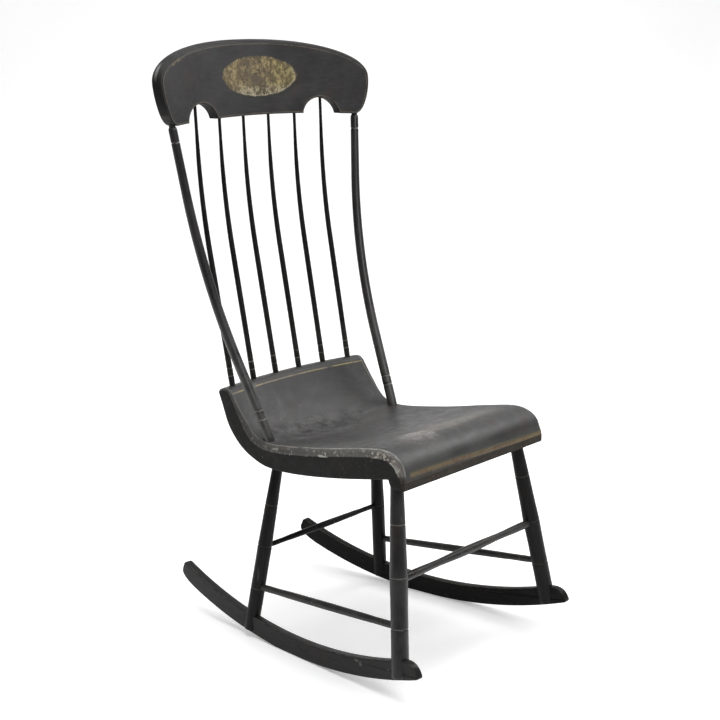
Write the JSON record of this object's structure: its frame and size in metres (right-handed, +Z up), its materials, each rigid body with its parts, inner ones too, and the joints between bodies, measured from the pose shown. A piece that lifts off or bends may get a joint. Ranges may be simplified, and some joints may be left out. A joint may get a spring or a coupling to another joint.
{
  "type": "boston rocking chair",
  "caption": "Armless wooden rocking chair with a rolled seat, bent posts and spindles, a curved crest rail and bamboo-turned legs pegged to two bow-shaped rockers.",
  "frame": {"origin": "floor level, on the chair's middle plane, midway between the ends of the rockers", "axes": "+Z up, -Y out of the front of the seat, +X to the right of someone who looks at the back of the chair from behind it"},
  "size_m": [0.5396, 0.6098, 1.046],
  "materials": {
    "rocker_left": "aged satin black paint",
    "rocker_right": "aged satin black paint",
    "front_leg_left": "aged satin black paint",
    "front_leg_peg_left": "aged satin black paint",
    "front_leg_right": "aged satin black paint",
    "front_leg_peg_right": "aged satin black paint",
    "rear_leg_left": "aged satin black paint",
    "rear_leg_peg_left": "aged satin black paint",
    "rear_leg_right": "aged satin black paint",
    "rear_leg_peg_right": "aged satin black paint",
    "front_stretcher": "aged satin black paint",
    "rear_stretcher": "aged satin black paint",
    "side_stretcher_left": "aged satin black paint",
    "side_stretcher_right": "aged satin black paint",
    "seat_plank": "aged satin black paint",
    "seat_back_roll": "aged satin black paint",
    "seat_front_roll": "aged satin black paint",
    "post_left": "aged satin black paint",
    "post_right": "aged satin black paint",
    "spindle_1": "aged satin black paint",
    "spindle_2": "aged satin black paint",
    "spindle_3": "aged satin black paint",
    "spindle_4": "aged satin black paint",
    "spindle_5": "aged satin black paint",
    "spindle_6": "aged satin black paint",
    "crest_rail": "aged satin black paint",
    "crest_peg_left": "aged satin black paint",
    "crest_peg_right": "aged satin black paint"
  },
  "bodies": {
    "root": {"rocker_left": "rocker_left", "rocker_right": "rocker_right", "front_leg_left": "front_leg_left", "front_leg_peg_left": "front_leg_peg_left", "front_leg_right": "front_leg_right", "front_leg_peg_right": "front_leg_peg_right", "rear_leg_left": "rear_leg_left", "rear_leg_peg_left": "rear_leg_peg_left", "rear_leg_right": "rear_leg_right", "rear_leg_peg_right": "rear_leg_peg_right", "front_stretcher": "front_stretcher", "rear_stretcher": "rear_stretcher", "side_stretcher_left": "side_stretcher_left", "side_stretcher_right": "side_stretcher_right", "seat_plank": "seat_plank", "seat_back_roll": "seat_back_roll", "seat_front_roll": "seat_front_roll", "post_left": "post_left", "post_right": "post_right", "spindle_1": "spindle_1", "spindle_2": "spindle_2", "spindle_3": "spindle_3", "spindle_4": "spindle_4", "spindle_5": "spindle_5", "spindle_6": "spindle_6", "crest_rail": "crest_rail", "crest_peg_left": "crest_peg_left", "crest_peg_right": "crest_peg_right"}
  },
  "joints": []
}
